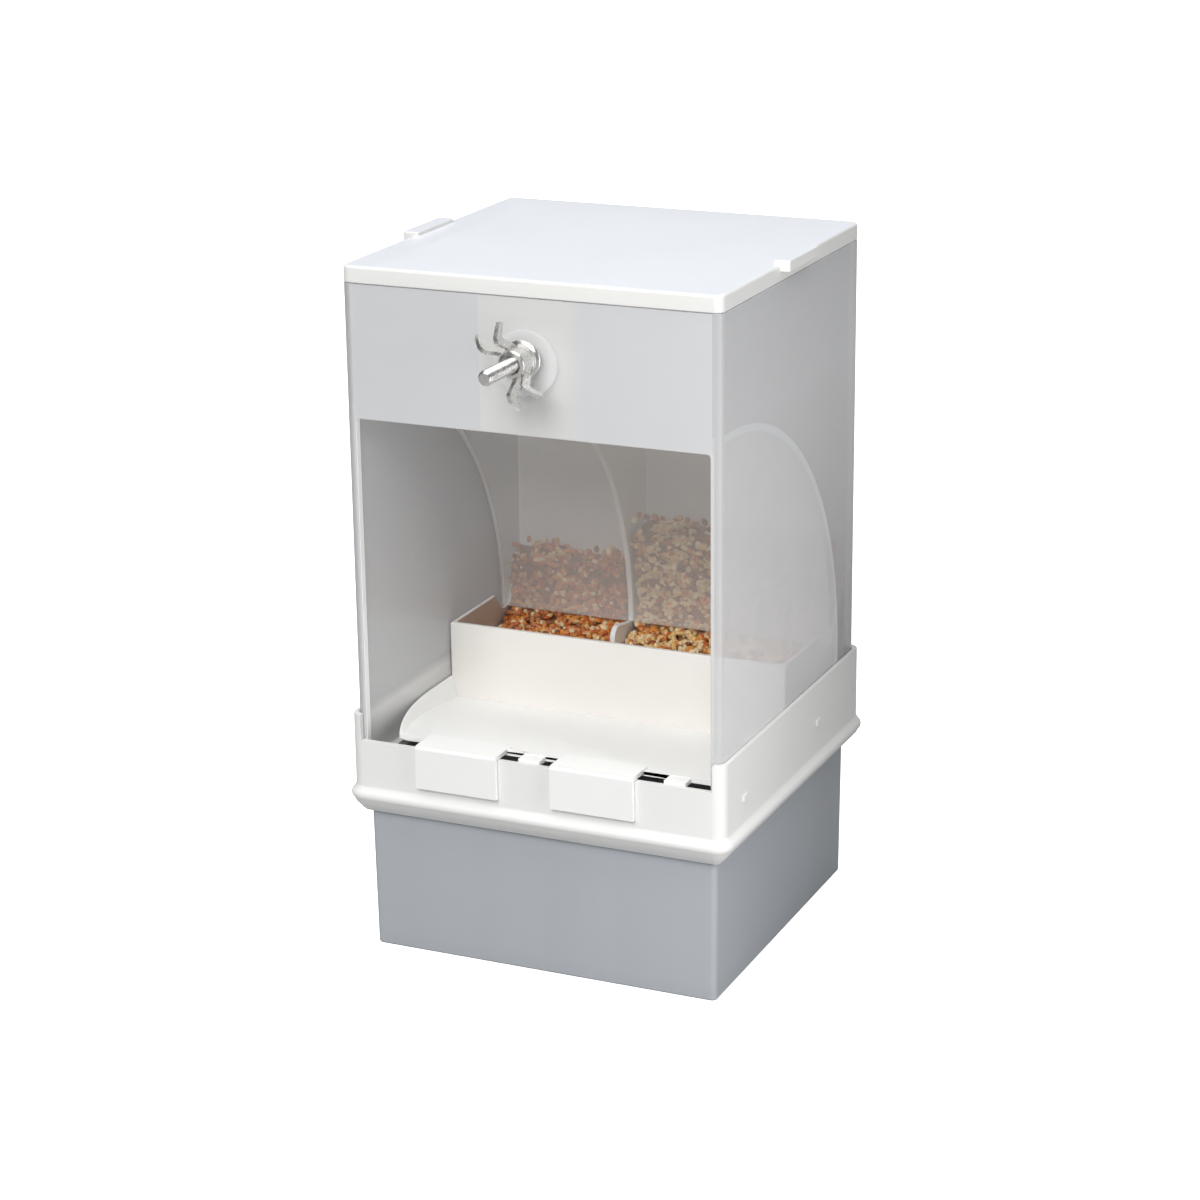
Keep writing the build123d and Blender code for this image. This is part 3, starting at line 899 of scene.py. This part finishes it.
def make_tub():
    """Translucent tub with a little draft and a soft bottom edge; its other edges are softened."""
    draft = 0.45
    half_x = TUB_HIGH.x - draft - 0.04
    half_y = TUB_HIGH.y - draft - 0.04
    wall = 1.8
    tub = rings("tub", tub_loops(half_x, half_y, TUB_LOW.z, TUB_HIGH.z, 1.6, 0.7, draft))
    inner = tub_loops(half_x - wall, half_y - wall, 2.0, TUB_HIGH.z + 1, 0.8, 0.6, draft)
    cut(tub, rings("inner", inner))
    soften(tub, 0.4, 3, 40)
    return finish_piece(tub, "tub_drawer", "tub", LOOKS["tub"], ("husk_tub",))


# ---------------------------------------------------------------- clamp hardware


def make_bolt():
    """M4 bolt with a real helical thread and a domed head."""
    around = 36
    head_z = BOLT_HIGH.y - HEAD_H
    tip = BOLT_LOW.y
    outer = 1.99
    depth = 0.36
    per_turn = 10
    count = int((head_z - tip) / THREAD_PITCH * per_turn)
    loops = []
    for k in range(count + 1):
        along = tip + (head_z - tip) * k / count
        from_tip = along - tip
        loop = []
        for i in range(around):
            a = 2 * math.pi * i / around
            phase = (from_tip / THREAD_PITCH + i / around) % 1.0
            tooth = min(abs(phase - 0.5) * 2 * 1.25, 1.0)
            r = outer - depth * (1 - tooth)
            r = min(r, 1.35 + from_tip * 1.0)
            loop.append((r * math.cos(a), along, BOLT_Z + r * math.sin(a)))
        loops.append(loop)
    bolt = rings("bolt", loops)
    head = []
    profile = [(0.5, 0.0), (3.7, 0.0), (4.0, 0.3), (4.0, 1.6), (3.6, 2.2), (2.7, 2.6)]
    for r, y in profile + [(1.5, HEAD_H)]:
        head.append([(x, head_z + y, BOLT_Z + z) for x, z in circle(r, 36)])
    bolt_head = rings("head", head)
    socket = prism("socket", circle(1.3, 6, (0, BOLT_Z)), "Y", BOLT_HIGH.y - 1.4, BOLT_HIGH.y + 1)
    cut(bolt_head, socket)
    joined = join_loose("bolt_all", [bolt, bolt_head])
    return finish_piece(
        joined, "bolt_thread", "housing", LOOKS["zinc"], ("clamp_bolt",)
    )


def join_loose(name, parts):
    """Puts closed parts together in one mesh, each still its own shell."""
    points, faces = [], []
    for part in parts:
        start = len(points)
        points += [tuple(v.co) for v in part.data.vertices]
        faces += [[start + i for i in p.vertices] for p in part.data.polygons]
        bpy.data.objects.remove(part)
    mesh = bpy.data.meshes.new(name)
    mesh.from_pydata(points, [], faces)
    return new_object(name, mesh)


def make_washer():
    """Clear plastic washer with a rounded rim and a shallow ring on its face."""
    low, high = WASHER_LOW, WASHER_HIGH
    cz = (low.z + high.z) / 2
    outer = (high.x - low.x) / 2
    hole = 3.5
    profile = [(hole, high.y - 0.15), (hole + 0.15, high.y)]
    profile += [(outer - 0.5, high.y), (outer - 0.15, high.y - 0.15), (outer, high.y - 0.5)]
    profile += [(outer, low.y + 0.5), (outer - 0.15, low.y + 0.15), (outer - 0.5, low.y)]
    profile += [(outer - 1.6, low.y), (outer - 1.8, low.y + 0.25), (hole + 1.3, low.y + 0.25)]
    profile += [(hole + 1.1, low.y), (hole + 0.15, low.y), (hole, low.y + 0.15)]
    washer = turned("washer", profile, cz, 64)
    return finish_piece(
        washer, "washer_ring", "washer", LOOKS["washer"], ("clamp_washer",)
    )


def make_backing():
    """Soft rubber washer under the bolt's head."""
    low, high = node_box("backing_washer")
    outer = (high.x - low.x) / 2
    hole = 2.1
    ease = 0.25
    profile = [(hole, low.y + ease), (hole + ease, low.y), (outer - ease, low.y)]
    profile += [(outer, low.y + ease), (outer, high.y - ease), (outer - ease, high.y)]
    profile += [(hole + ease, high.y), (hole, high.y - ease)]
    ring = turned("backing", profile, BOLT_Z, 48)
    return finish_piece(
        ring, "backing_ring", "housing", LOOKS["rubber"], ("backing_washer",)
    )


def turned(name, profile, centre_z, around):
    """A ring turned about an axis along Y from a closed (radius, y) profile."""
    points, faces = [], []
    count = len(profile)
    for i in range(around):
        a = 2 * math.pi * i / around
        for r, y in profile:
            points.append((r * math.cos(a), y, centre_z + r * math.sin(a)))
    for i in range(around):
        n = (i + 1) % around
        for k in range(count):
            j = (k + 1) % count
            faces.append((i * count + k, i * count + j, n * count + j, n * count + k))
    return from_faces(name, points, faces)


WING_TURN = 122.0
WING_SPREAD = 19.0
# One wing arm, as (radius, distance from the nut's base) pairs
WING_ARM = [(2.75, 3.1), (4.3, 3.45), (5.9, 6.2), (7.2, 8.9), (7.75, 9.5), (8.4, 9.1), (9.6, 8.2)]
WING_ARM += [(10.5, 7.5), (10.8, 7.5), (11.35, 8.4), (11.3, 8.8), (10.2, 10.1), (8.4, 11.9)]
WING_ARM += [(7.8, 12.2), (6.7, 12.2), (6.2, 11.8), (5.0, 9.3), (3.9, 7.1), (2.75, 6.9)]


def make_wing_nut():
    """Stamped wing nut: dished flange, short hub and two folded wings of two arms each."""
    base = NUT_HIGH.y
    bore = 2.05
    profile = [(bore, base), (4.7, base), (5.0, base - 0.3), (5.0, base - 1.0), (4.7, base - 1.3)]
    profile += [(4.15, base - 1.5), (3.9, base - 2.2), (3.75, base - 6.6), (3.4, base - 7.2)]
    profile += [(2.6, base - 7.4), (bore + 0.1, base - 7.2), (bore, base - 7.0)]
    nut = turned("nut", profile, BOLT_Z, 48)
    thick = 1.15
    for turn in (WING_TURN, WING_TURN + 180.0):
        for spread in (-WING_SPREAD, WING_SPREAD):
            radial = [(r, base - out) for r, out in WING_ARM]
            arm = prism("arm", radial, "Z", -thick / 2, thick / 2)
            arm.data.transform(Matrix.Rotation(math.radians(-turn - spread), 4, "Y"))
            arm.data.transform(Matrix.Translation((0, 0, BOLT_Z)))
            weld(nut, arm)
    bore_tool = prism("bore", circle(bore, 48, (0, BOLT_Z)), "Y", base - 9, base + 1)
    cut(nut, bore_tool)
    soften(nut, 0.22, 3, 35)
    return finish_piece(nut, "wing_stamped", "wing", LOOKS["zinc"], ("wing_nut",))


# ---------------------------------------------------------------- seed

SEED_COLOURS = {
    "amber": (0.68, 0.27, 0.06),
    "rust": (0.50, 0.13, 0.03),
    "cream": (0.82, 0.65, 0.40),
    "straw": (0.72, 0.48, 0.20),
    "brown": (0.25, 0.09, 0.035),
    "clay": (0.57, 0.24, 0.10),
    # Painted shade: the heap core's dark tone stands for the shade between grains.
    "husk": (0.24, 0.10, 0.045),
}
SEED_MIX = {
    "left": {"amber": 26, "rust": 28, "cream": 9, "straw": 13, "brown": 12, "clay": 12},
    "right": {"amber": 15, "rust": 7, "cream": 30, "straw": 32, "brown": 10, "clay": 6},
}
DRAWS = {"left": 41, "right": 87}
# Half-sizes of a grain along its three axes, and how often it is drawn
GRAINS = [((1.1, 0.82, 0.78), 74), ((1.8, 0.72, 0.66), 16), ((1.8, 1.0, 0.7), 10)]


def grain_shape():
    """Unit seed with slightly pointed ends: points and faces."""
    segments = 8
    bands = 5
    points = [(1.0, 0.0, 0.0)]
    for b in range(1, bands):
        a = math.pi * b / bands
        for s in range(segments):
            t = 2 * math.pi * s / segments
            r = math.sin(a) ** 0.85
            points.append((math.cos(a), r * math.cos(t), r * math.sin(t)))
    points.append((-1.0, 0.0, 0.0))
    last = len(points) - 1
    faces = []
    for s in range(segments):
        n = (s + 1) % segments
        faces.append((0, 1 + n, 1 + s))
        for b in range(bands - 2):
            low = 1 + b * segments
            faces.append((low + s, low + n, low + segments + n, low + segments + s))
        low = 1 + (bands - 2) * segments
        faces.append((low + s, low + n, last))
    return points, faces


def heap_patches(side):
    """Where grains lie on a heap: (count, function that gives a point)."""
    low, high = HEAP_BOXES[side]
    left, right = low.x, high.x
    top = high.z
    width = right - left
    clear = HOOD_R + HOOD_T + SEED_GAP
    front = (low.y, low.z + 1.5)
    throat = (HOOD_Y + HOOD_R, HOOD_Z - SEED_GAP)
    arc_top = math.asin((top - 4.0 - HOOD_Z) / clear)
    crown = (HOOD_Y + clear * math.cos(arc_top), top - 4.0)
    back = (high.y, top)
    sink = 0.55

    def slope(rng):
        t = rng.random()
        y = front[0] + 0.8 + (throat[0] - front[0] + 0.8) * t
        z = front[1] + (throat[1] - front[1]) * t
        x = rng.uniform(left + 0.9, right - 0.9)
        lump = 0.5 * math.sin(x * 0.45) * math.sin(y * 0.6)
        return Vector((x, y, z - sink + lump - rng.uniform(0, 0.9)))

    def behind_hood(rng):
        a = arc_top * rng.random() * 1.04 - 0.04
        r = clear + rng.uniform(0.75, 1.5)
        x = rng.uniform(left + 0.9, right - 0.9)
        return Vector((x, HOOD_Y + r * math.cos(a), HOOD_Z + r * math.sin(a)))

    def crown_top(rng):
        t = rng.random()
        y = crown[0] + 1.0 + (back[0] - crown[0] - 1.6) * t
        x = rng.uniform(left + 0.9, right - 0.9)
        lump = 1.2 * math.sin(x * 0.31 + 1.0) + 0.9 * math.sin(x * 0.83 + y * 0.4)
        z = crown[1] + (back[1] - crown[1]) * t - sink + lump - rng.uniform(0, 1.2)
        return Vector((x, y, min(z, top + 1.0)))

    def clinging(rng):
        a = arc_top + rng.random() ** 2 * 0.11
        x = rng.uniform(left + 1.2, right - 1.2)
        r = clear + 0.95
        return Vector((x, HOOD_Y + r * math.cos(a), HOOD_Z + r * math.sin(a)))

    def at_back(rng):
        z = rng.uniform(low.z + 12.0, top - 1.0)
        x = rng.uniform(left + 0.9, right - 0.9)
        return Vector((x, back[0] - rng.uniform(0.7, 1.3), z))

    def at_side(rng):
        z = rng.uniform(HOOD_Z, top - 2.0)
        reach = HOOD_Y + math.sqrt(clear**2 - (z - HOOD_Z) ** 2)
        y = rng.uniform(reach + 1.0, back[0] - 1.0)
        outer = left + 0.8 if side == "left" else right - 0.8
        return Vector((outer, y, z))

    arc_length = clear * arc_top
    side_area = (back[0] - throat[0] - 4) * (top - HOOD_Z)
    return [
        (int(width * 36.0 / 1.3), slope),
        (int(width * arc_length / 1.4), behind_hood),
        (int(width * 16.0 / 1.6), crown_top),
        (int(width * 0.9), clinging),
        (int(width * (top - low.z - 12) / 3.0), at_back),
        (int(side_area / 2.0), at_side),
    ]


def pick(rng, table):
    """One key of a dict, or one first item of pairs, by weight."""
    pairs = list(table.items()) if isinstance(table, dict) else table
    return rng.choices([p[0] for p in pairs], [p[1] for p in pairs])[0]


def pressed(point, low, high):
    """A grain's point held inside its compartment's walls and behind the hood."""
    point.x = min(max(point.x, low.x), high.x)
    point.y = min(point.y, high.y)
    clear = HOOD_R + HOOD_T + HOOD_GAP
    reach = math.hypot(point.y - HOOD_Y, point.z - HOOD_Z)
    if point.z > HOOD_Z and HOOD_R < reach < clear:
        point.y = HOOD_Y + (point.y - HOOD_Y) * clear / reach
        point.z = HOOD_Z + (point.z - HOOD_Z) * clear / reach
    return point


def make_grains(side):
    """One piece for each colour of seed in a compartment."""
    rng = random.Random(DRAWS[side])
    unit, unit_faces = grain_shape()
    built = {colour: ([], []) for colour in SEED_MIX[side]}
    for count, place in heap_patches(side):
        for _ in range(count):
            centre = place(rng)
            size = pick(rng, GRAINS)
            grow = rng.uniform(0.85, 1.15)
            turn = Euler([rng.uniform(0, math.pi) for _ in range(3)]).to_matrix()
            if size[0] > 1.5:
                turn = Euler((0, rng.uniform(-0.5, 0.5), rng.uniform(0, math.pi))).to_matrix()
            points, faces = built[pick(rng, SEED_MIX[side])]
            start = len(points)
            for p in unit:
                q = turn @ Vector((p[0] * size[0], p[1] * size[1], p[2] * size[2]))
                points.append(pressed(centre + q * grow, *HEAP_BOXES[side]))
            faces.extend([[start + i for i in f] for f in unit_faces])
    for colour, (points, faces) in built.items():
        mesh = bpy.data.meshes.new("grains")
        mesh.from_pydata([tuple(p) for p in points], [], faces)
        piece = new_object("grains", mesh)
        look = SEED_LOOKS[colour]
        finish_piece(piece, f"seed_{side}_{colour}", "housing", look)


def make_heap_core(side):
    """The mass of seed under the grains, which shows only between them; its dark tone is painted
    shade standing in for the shaded grains below.
    """
    low, high = HEAP_BOXES[side]
    inset = 0.9
    clear = HOOD_R + HOOD_T + SEED_GAP + inset
    top = high.z - 4.0
    arc_top = math.degrees(math.asin((top - HOOD_Z) / clear))
    outline = [(low.y + 0.3, low.z), (FLOOR_BEND_Y, low.z)]
    outline += [(high.y - 0.3, low.z + FLOOR_RISE), (high.y - inset, high.z - 1.3)]
    outline += arc((HOOD_Y, HOOD_Z), clear, arc_top, 0.0, 20)
    outline += [(HOOD_Y + HOOD_R + HOOD_T, HOOD_Z - 2.2), (low.y + 0.3, low.z + 0.6)]
    core = prism("core", outline, "X", low.x + 0.7, high.x - 0.7)
    return finish_piece(
        core,
        f"seed_{side}_core",
        "housing",
        SEED_LOOKS["husk"],
        ("seed_heap_" + side,),
    )


SEED_LOOKS = {name: seed_skin("seed_" + name, colour) for name, colour in SEED_COLOURS.items()}

make_shell()
make_hood()
make_guard()
make_divider()
make_trough()
make_apron()
make_lid()
make_collar()
make_tub()
make_bolt()
make_washer()
make_backing()
make_wing_nut()
for heap_side in ("left", "right"):
    make_heap_core(heap_side)
    make_grains(heap_side)

# ---------------------------------------------------------------- floor and light

# Strength of the room's own light, and the floor's tone for all but direct looks
ROOM = 0.18
BOUNCE = 0.35
EXPOSURE = 0.0
# Name, place, size in metres, power in watts
LAMPS = [
    ("key", (0.06, -1.1, 0.94), (0.85, 0.7), 16.4),
    ("top", (0.0, 0.1, 1.5), (1.8, 1.8), 19.0),
    ("side", (0.22, -0.1, 0.12), (0.07, 0.22), 0.25),
]


def direct_view(tree):
    """1 where a camera ray has met nothing see-through on its way, 0 for all other rays."""
    ray = tree.nodes.new("ShaderNodeLightPath")
    first = tree.nodes.new("ShaderNodeMath")
    first.operation = "LESS_THAN"
    first.inputs[1].default_value = 0.5
    both = tree.nodes.new("ShaderNodeMath")
    both.operation = "MULTIPLY"
    tree.links.new(ray.outputs["Transparent Depth"], first.inputs[0])
    tree.links.new(first.outputs["Value"], both.inputs[0])
    tree.links.new(ray.outputs["Is Camera Ray"], both.inputs[1])
    return both.outputs["Value"]


def make_floor():
    """Plain floor: white when looked at directly, duller in the light it throws back."""
    half = 3.2
    points = [(-half, -half, 0.0), (half, -half, 0.0), (half, half, 0.0), (-half, half, 0.0)]
    mesh = bpy.data.meshes.new("floor")
    mesh.from_pydata(points, [], [(0, 1, 2, 3)])
    floor = new_object("floor", mesh)
    m = Nodes("pale_floor")
    tint = m.ramp(m.noise(6.0), [(0.3, (0.93, 0.93, 0.93)), (0.7, (0.95, 0.95, 0.95))])
    seen = direct_view(m.tree)
    mix = m.tree.nodes.new("ShaderNodeMix")
    mix.data_type = "RGBA"
    mix.inputs["A"].default_value = (BOUNCE, BOUNCE, BOUNCE, 1.0)
    m.link(seen, mix.inputs["Factor"])
    m.link(tint, mix.inputs["B"])
    m.link(mix.outputs["Result"], m.shader.inputs["Base Color"])
    m.shader.inputs["Emission Color"].default_value = (1.0, 1.0, 1.0, 1.0)
    m.link(m.spread(seen, 0.0, 0.75, 0.0, 1.0), m.shader.inputs["Emission Strength"])
    m.shader.inputs["Roughness"].default_value = 0.7
    mesh.materials.append(m.material)


def add_area(name, place, aim, size, power):
    """A soft rectangular lamp at place, pointed at aim."""
    data = bpy.data.lights.new(name, "AREA")
    data.shape = "RECTANGLE"
    data.size, data.size_y = size
    data.energy = power
    lamp = bpy.data.objects.new(name, data)
    bpy.context.scene.collection.objects.link(lamp)
    lamp.location = place
    lamp.visible_camera = False
    direction = Vector(aim) - Vector(place)
    lamp.rotation_euler = direction.to_track_quat("-Z", "Y").to_euler()


def make_light():
    """Soft lamps in front, above and to the right, in a dim room with a white backdrop."""
    world = bpy.data.worlds.new("studio")
    bpy.context.scene.world = world
    world.use_nodes = True
    tree = world.node_tree
    room = tree.nodes["Background"]
    room.inputs["Color"].default_value = (0.93, 0.96, 1.0, 1.0)
    room.inputs["Strength"].default_value = ROOM
    backdrop = tree.nodes.new("ShaderNodeBackground")
    backdrop.inputs["Color"].default_value = (1.0, 1.0, 1.0, 1.0)
    backdrop.inputs["Strength"].default_value = 1.1
    mix = tree.nodes.new("ShaderNodeMixShader")
    tree.links.new(direct_view(tree), mix.inputs["Fac"])
    tree.links.new(room.outputs["Background"], mix.inputs[1])
    tree.links.new(backdrop.outputs["Background"], mix.inputs[2])
    tree.links.new(mix.outputs["Shader"], tree.nodes["World Output"].inputs["Surface"])
    centre = (0.0, 0.0, 0.1)
    for name, place, size, power in LAMPS:
        add_area(name, place, centre, size, power)


make_floor()
make_light()
bpy.context.scene.view_settings.view_transform = "Standard"
bpy.context.scene.view_settings.exposure = EXPOSURE
